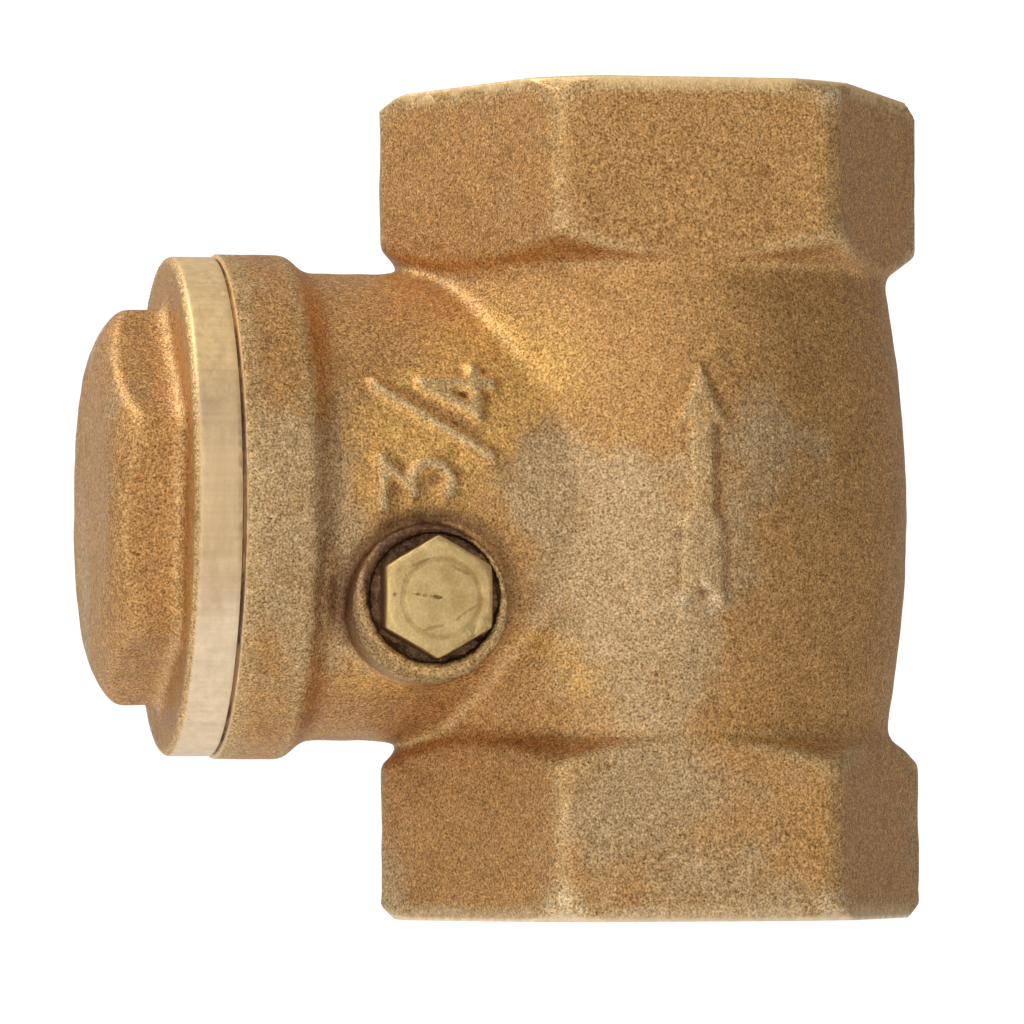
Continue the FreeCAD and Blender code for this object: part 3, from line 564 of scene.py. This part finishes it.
def skin_colour(m, grain, speckle, blotch, patch):
    """Colour of the as-cast skin: golden, brown and olive patches, painted shade in hollows and creases, paler
    edges partly worn and partly a painted highlight, and grain partly painted as glints.
    """
    hollow, crease = m.number("hollow"), m.number("crease")
    golden = m.math("ADD", m.number("golden"), m.linear(patch, 0.3, 0.7, 0.3, -0.45))
    dull = m.math("ADD", m.number("dull"), m.linear(patch, 0.3, 0.7, -0.65, 0.45))
    colour = m.mix(m.ranged(golden, 0.1, 0.8), rgb(191, 145, 90), rgb(212, 166, 97))
    colour = m.mix(m.ranged(dull, 0.15, 0.75), colour, rgb(190, 158, 116))
    colour = m.mix(m.ranged(blotch, 0.52, 0.74, 0.0, 0.55), colour, rgb(168, 124, 74))

    # painted shade: hollows turned brown and creases darkened where shade falls
    hollow_shade = m.math("MULTIPLY", m.ranged(hollow, 0.05, 0.34), m.linear(blotch, 0.3, 0.7, 0.55, 1.0))
    colour = m.mix(hollow_shade, colour, rgb(142, 97, 57))
    colour = m.mix(m.ranged(crease, 0.03, 0.1, 0.0, 0.85), colour, rgb(92, 54, 32))
    # paler convex edges and corners: partly wear, partly a painted highlight
    colour = m.mix(m.ranged(hollow, -0.08, -0.28, 0.0, 0.5), colour, rgb(202, 172, 124))
    colour = m.mix(m.ranged(crease, -0.04, -0.12, 0.0, 0.3), colour, rgb(222, 186, 130))
    colour = m.mix(m.math("MULTIPLY", m.number("raised"), 0.75), colour, rgb(198, 166, 120))
    rubbed = m.ranged(m.noise(0.5, 3.0, 0.6, seed=9.0), 0.42, 0.56, 0.0, 1.6)
    scuffed = m.math("MULTIPLY", m.number("scuff"), rubbed)
    colour = m.mix(m.math("MINIMUM", scuffed, 0.7), colour, rgb(218, 194, 158))

    # grain in the metal's tone; its bright golden flecks and dark specks are partly painted glints
    coarse_tone, fine_tone = m.linear(grain, 0.3, 0.7, 0.45, 1.55), m.linear(speckle, 0.3, 0.7, 0.75, 1.25)
    colour = m.shaded(colour, m.math("MULTIPLY", coarse_tone, fine_tone))
    hue = m.mix(m.linear(grain, 0.35, 0.65), (1.1, 0.98, 0.76, 1.0), (0.95, 1.02, 1.14, 1.0))
    return m.mix(1.0, colour, hue, "MULTIPLY")


def turned_colour(m, speckle, patch):
    """Colour of the casting's turned faces: pale, in three tones up the valve that paint light and shade, lighter
    low and high and darker in the middle, with tool marks and dots.
    """
    # painted light and shade: the tone changes with height as light falls on the round band and the end faces
    uneven_height = m.math("ADD", m.axis_mm(2), m.linear(patch, 0.3, 0.7, -3.0, 3.0))
    colour = m.mix(m.ranged(uneven_height, 19.0, 26.0), rgb(242, 216, 180), rgb(220, 188, 144))
    colour = m.mix(m.ranged(uneven_height, 34.0, 39.0), colour, rgb(252, 215, 157))
    tool_marks = m.noise(0.35, 3.0, 0.6, at=m.stretched(1.0, 1.0, 0.12), seed=4.0)
    chatter = m.noise(0.22, 2.0, 0.6, at=m.stretched(0.02, 0.02, 1.0), seed=6.0)
    colour = m.shaded(colour, m.linear(tool_marks, 0.3, 0.7, 0.9, 1.08))
    colour = m.shaded(colour, m.linear(speckle, 0.3, 0.7, 0.95, 1.05))
    colour = m.shaded(colour, m.linear(chatter, 0.3, 0.7, 0.94, 1.06))
    dots = m.math("MULTIPLY", m.ranged(m.cells(0.7, seed=9.0), 0.13, 0.05),
                  m.math("GREATER_THAN", m.noise(2.0, 0.0, seed=15.0), 0.55))
    return m.mix(m.math("MULTIPLY", dots, 0.7), colour, rgb(140, 104, 70))


def cast_brass():
    """Sand-cast brass, grainy and dull, with smoother turned faces, dirt round the plug, and a painted shadow
    round the plug's boss.
    """
    m = Material("cast_brass")
    grain = m.noise(0.075, 1.0, 0.5)
    speckle = m.noise(0.16, 2.0, 0.5, seed=3.1)
    blotch = m.noise(1.6, 3.0, 0.55, seed=7.7)
    patch = m.noise(4.0, 4.0, 0.6, seed=1.9)
    turned = m.number("turned")

    colour = skin_colour(m, grain, speckle, blotch, patch)
    pits = m.math("MULTIPLY", m.ranged(m.cells(0.95, seed=2.0), 0.16, 0.08),
                  m.math("GREATER_THAN", m.noise(1.3, 0.0, seed=5.0), 0.69))
    colour = m.mix(m.math("MULTIPLY", pits, 0.6), colour, rgb(92, 62, 38))
    colour = m.mix(turned, colour, turned_colour(m, speckle, patch))
    # painted shadow in the corner round the plug's boss
    stain = m.math("MULTIPLY", m.number("stain"), m.ranged(blotch, 0.3, 0.6, 0.9, 0.6))
    colour = m.mix(stain, colour, rgb(72, 44, 30))
    grime = m.math("MULTIPLY", m.number("grime"), m.linear(speckle, 0.25, 0.7, 1.0, 0.75), clamp=True)
    colour = m.mix(grime, colour, m.mix(m.ranged(blotch, 0.4, 0.62), rgb(74, 47, 38), rgb(108, 74, 52)))

    roughness = m.linear(turned, 0.0, 1.0, 0.52, 0.46)
    roughness = m.math("ADD", roughness, m.linear(speckle, 0.3, 0.7, -0.07, 0.07))
    relief = m.math("ADD", m.math("MULTIPLY", grain, 0.5), m.math("MULTIPLY", speckle, 0.7))
    relief = m.math("SUBTRACT", relief, m.math("MULTIPLY", pits, 0.9))
    normal = m.bump(m.math("MULTIPLY", relief, m.linear(turned, 0, 1, 1.0, 0.15)), 0.08)
    return m.finish(Base_Color=colour, Metallic=0.82, Roughness=roughness, Normal=normal)


def turned_brass():
    """Machined brass with fine tool marks, a few specks and a light tarnish."""
    m = Material("turned_brass")
    marks = m.noise(0.22, 3.0, 0.6)
    tarnish = m.noise(2.2, 3.0, 0.55, seed=6.0)
    speck = m.noise(0.3, 2.0, 0.5, seed=2.0)
    colour = m.mix(m.linear(marks, 0.3, 0.7), rgb(190, 152, 98), rgb(214, 178, 122))
    colour = m.mix(m.ranged(tarnish, 0.5, 0.72, 0.0, 0.4), colour, rgb(150, 112, 66))
    colour = m.shaded(colour, m.linear(speck, 0.3, 0.7, 0.93, 1.07))
    return m.finish(Base_Color=colour, Metallic=0.9, Normal=m.bump(marks, 0.012),
                    Roughness=m.math("ADD", 0.34, m.linear(tarnish, 0.3, 0.7, -0.05, 0.1)))


def plug_brass():
    """The plug's brass: blotched, with a faint turned circle, scratches and nicks, and sides darker below the
    face.
    """
    m = Material("plug_brass")

    def place(x, z):
        """X and Z of a place on the head, from its middle."""
        return PIN[0] + x, PIN[2] + z

    grain = m.noise(0.1, 2.0, 0.6)
    blotch = m.noise(0.9, 3.0, 0.6, seed=3.0)
    colour = m.mix(m.ranged(blotch, 0.42, 0.68), rgb(214, 183, 124), rgb(192, 159, 103))
    turning = m.away_from(place(0.15, -0.1))
    circle = m.math("MULTIPLY", m.ranged(turning, 2.35, 2.6), m.ranged(turning, 2.95, 2.7))
    circle_colour = m.math("MULTIPLY", circle, m.ranged(blotch, 0.35, 0.6, 0.1, 0.6))
    colour = m.mix(circle_colour, colour, rgb(160, 122, 68))
    worn_unevenly = m.ranged(m.noise(0.5, 2.0, seed=8.0), 0.35, 0.55, 0.3, 1.0)
    worn = m.math("MULTIPLY", m.ranged(m.number("crease"), -0.012, -0.035), worn_unevenly)
    colour = m.mix(worn, colour, rgb(244, 220, 172))
    colour = m.shaded(colour, m.linear(grain, 0.3, 0.7, 0.86, 1.14))

    scratch = m.scratch(place(-1.9, 0.2), place(0.2, -0.1), 0.09)
    for start, end, width in (((-2.2, 1.9), (-0.6, 2.6), 0.05), ((0.6, 2.3), (2.0, 1.5), 0.05),
                              ((1.1, -1.6), (2.7, -0.5), 0.06), ((-1.2, -2.3), (0.4, -1.9), 0.04)):
        fainter = m.math("MULTIPLY", m.scratch(place(*start), place(*end), width), 0.45)
        scratch = m.math("MAXIMUM", scratch, fainter)
    nicks = m.math("MULTIPLY", m.ranged(m.noise(0.22, 2.0, seed=4.0), 0.62, 0.7),
                   m.ranged(m.away_from(place(-2.3, 0.5)), 1.3, 0.6))
    corner = m.math("MULTIPLY", m.ranged(m.away_from(place(3.0, -2.6)), 1.8, 0.6),
                    m.ranged(m.noise(0.45, 3.0, seed=2.0), 0.42, 0.58))
    marks = m.math("MAXIMUM", m.math("MAXIMUM", scratch, nicks), m.math("MULTIPLY", corner, 0.6))
    colour = m.mix(m.math("MULTIPLY", marks, 0.8), colour, rgb(96, 66, 34))
    # the sides are darker further below the plug's face
    sides = m.ranged(m.axis_mm(1), PLUG_FACE + 0.25, PLUG_FACE + 1.3)
    colour = m.mix(m.math("MULTIPLY", sides, 0.8), colour, rgb(104, 72, 50))

    relief = m.math("SUBTRACT", m.math("MULTIPLY", grain, 0.3), marks)
    relief = m.math("SUBTRACT", relief, m.math("MULTIPLY", circle, 0.25))
    return m.finish(Base_Color=colour, Metallic=0.82, Normal=m.bump(relief, 0.05),
                    Roughness=m.linear(blotch, 0.3, 0.7, 0.36, 0.5))


def steel():
    """Brushed stainless steel."""
    m = Material("stainless")
    brushed = m.noise(0.12, 3.0, 0.6, at=m.stretched(1.0, 0.1, 1.0))
    colour = m.mix(m.linear(brushed, 0.3, 0.7), rgb(176, 174, 170), rgb(206, 204, 200))
    return m.finish(Base_Color=colour, Metallic=1.0, Roughness=m.linear(brushed, 0.3, 0.7, 0.24, 0.38),
                    Normal=m.bump(brushed, 0.004))


def rubber():
    """Black nitrile rubber."""
    m = Material("nitrile")
    fine, broad = m.noise(0.12, 2.0, 0.6), m.noise(2.0, 3.0, 0.5, seed=2.0)
    colour = m.mix(m.linear(broad, 0.3, 0.7), rgb(34, 34, 35), rgb(52, 51, 50))
    return m.finish(Base_Color=colour, Roughness=m.linear(fine, 0.3, 0.7, 0.5, 0.68),
                    Normal=m.bump(fine, 0.015))


def fibre():
    """Dark gasket fibre, with brass dust on it in places."""
    m = Material("gasket_fibre")
    threads = m.noise(0.25, 4.0, 0.7, at=m.stretched(0.4, 1.0, 1.0))
    colour = m.mix(m.ranged(threads, 0.3, 0.7), rgb(58, 42, 32), rgb(96, 72, 54))
    brass_dust = m.ranged(m.noise(1.6, 3.0, 0.6, seed=5.0), 0.46, 0.58)
    colour = m.mix(m.math("MULTIPLY", brass_dust, 0.75), colour, rgb(168, 130, 84))
    return m.finish(Base_Color=colour, Roughness=0.9, Normal=m.bump(threads, 0.03))


def copper():
    """Tarnished copper."""
    m = Material("copper")
    tarnish, fine = m.noise(1.2, 3.0, 0.6), m.noise(0.14, 2.0, 0.5, seed=4.0)
    colour = m.mix(m.ranged(tarnish, 0.35, 0.65), rgb(84, 54, 42), rgb(150, 92, 66))
    return m.finish(Base_Color=colour, Metallic=0.8, Roughness=m.linear(fine, 0.3, 0.7, 0.42, 0.58),
                    Normal=m.bump(fine, 0.01))


# Pieces

CAST = cast_brass()
TURNED = turned_brass()
PLUG = plug_brass()

body = cast_body()
cap = cast_cap()
plug = soft_plug()
inlet = thread("inlet_thread", 0.0, 1, THREADED_DEPTH)
outlet = thread("outlet_thread", LENGTH, -1, OUTLET_DEPTH)
for piece, slot, material, node in (
    (body, "cast_brass", CAST, "valve_body"),
    (cap, "cast_brass", CAST, "bonnet_cap"),
    (plug, "plug_brass", PLUG, "pin_plug"),
    (inlet, "turned_brass", TURNED, None),
    (outlet, "turned_brass", TURNED, None),
):
    piece.data.materials.append(material)
    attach(piece, "body")
    if node:
        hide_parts(node)

# the CAD nodes that stay take the finish that their own material names
FINISHES = {"turned_brass": TURNED, "cast_brass": CAST, "stainless": steel(), "nitrile": rubber(),
            "gasket_fibre": fibre(), "copper": copper(), "plug_brass": PLUG}
for node in frame["nodes"].values():
    for slot in node.material_slots:
        slot.material = FINISHES[slot.material.name.split(".")[0]]


# Stage, light and camera


def floor():
    """A plain white table, hidden from the valve, which the surroundings already light from below."""
    sides, radius = 96, 600
    angles = [2 * math.pi * i / sides for i in range(sides)]
    rim = [(radius * math.cos(a), radius * math.sin(a), 0) for a in angles]
    piece = new_piece("floor", rim, [range(sides)])
    piece.visible_diffuse = False
    piece.visible_glossy = False
    m = Material("floor_white", Emission_Color=(1, 1, 1, 1), Emission_Strength=0.85)
    colour = m.mix(m.noise(40.0, 2.0), (0.36, 0.36, 0.36, 1), (0.4, 0.4, 0.4, 1))
    piece.data.materials.append(m.finish(Base_Color=colour, Roughness=0.8))


def softbox(name, place, size, power):
    """A round white area light at a place in metres from the valve's middle, facing it."""
    light = bpy.data.lights.new(name, "AREA")
    light.shape = "DISK"
    light.size = size
    light.energy = power
    lamp = bpy.data.objects.new(name, light)
    middle = Vector((0, 0, MIDDLE * MM))
    lamp.location = middle + Vector(place)
    lamp.rotation_euler = Vector(place).to_track_quat("Z", "Y").to_euler()
    bpy.context.scene.collection.objects.link(lamp)


def surroundings():
    """White behind the valve; what lights it is brighter from the left and from below."""
    world = bpy.data.worlds.new("studio")
    bpy.context.scene.world = world
    world.use_nodes = True
    tree = world.node_tree
    tree.nodes.clear()
    direction = tree.nodes.new("ShaderNodeTexCoord").outputs["Generated"]
    split = tree.nodes.new("ShaderNodeSeparateXYZ")
    tree.links.new(direction, split.inputs[0])
    ramps = []
    across, upward = 0, 2
    for axis, low, high, at_low, at_high in ((across, -0.9, 0.8, 0.68, 0.34), (upward, -0.6, 0.1, 0.45, 0.0)):
        ramp = tree.nodes.new("ShaderNodeMapRange")
        ramp.interpolation_type = "SMOOTHSTEP"
        for socket, value in (("From Min", low), ("From Max", high), ("To Min", at_low), ("To Max", at_high)):
            ramp.inputs[socket].default_value = value
        tree.links.new(split.outputs[axis], ramp.inputs["Value"])
        ramps.append(ramp.outputs[0])
    both = tree.nodes.new("ShaderNodeMath")
    tree.links.new(ramps[0], both.inputs[0])
    tree.links.new(ramps[1], both.inputs[1])
    lit = tree.nodes.new("ShaderNodeBackground")
    tree.links.new(both.outputs[0], lit.inputs["Strength"])
    seen = tree.nodes.new("ShaderNodeBackground")
    seen.inputs["Strength"].default_value = 1.1
    for background in (lit, seen):
        background.inputs["Color"].default_value = (1, 1, 1, 1)
    path = tree.nodes.new("ShaderNodeLightPath")
    mixed = tree.nodes.new("ShaderNodeMixShader")
    tree.links.new(path.outputs["Is Camera Ray"], mixed.inputs[0])
    tree.links.new(lit.outputs[0], mixed.inputs[1])
    tree.links.new(seen.outputs[0], mixed.inputs[2])
    output = tree.nodes.new("ShaderNodeOutputWorld")
    tree.links.new(mixed.outputs[0], output.inputs[0])


def camera():
    """A long lens, a little below the valve's middle and turned to its bonnet side."""
    azimuth, elevation, roll = math.radians(-10.15), math.radians(-2.6), math.radians(-0.175)
    distance = 0.48
    aim = Vector((-10.309, -0.185, 29.0)) * MM
    shift_right, shift_up = 0.306 * MM, -0.276 * MM

    back = Vector((math.sin(azimuth) * math.cos(elevation), -math.cos(azimuth) * math.cos(elevation),
                   math.sin(elevation)))
    level = Vector((0, 0, 1)).cross(back).normalized()
    upright = back.cross(level)
    right = math.cos(roll) * level + math.sin(roll) * upright
    up = -math.sin(roll) * level + math.cos(roll) * upright
    lens = bpy.data.cameras.new("camera")
    lens.sensor_width = 36.0
    lens.lens = 238.8
    lens.clip_start = 0.01
    lens.clip_end = 20.0
    viewer = bpy.data.objects.new("camera", lens)
    place = aim + shift_right * right + shift_up * up + back * distance
    viewer.matrix_world = Matrix.Translation(place) @ Matrix((right, up, back)).transposed().to_4x4()
    bpy.context.scene.collection.objects.link(viewer)
    bpy.context.scene.camera = viewer


floor()
softbox("key", (-0.18, -0.52, 0.13), 0.70, 1.05)
softbox("top", (-0.34, 0.04, 0.46), 0.5, 1.7)
surroundings()
camera()
bpy.context.scene.view_settings.view_transform = "Standard"
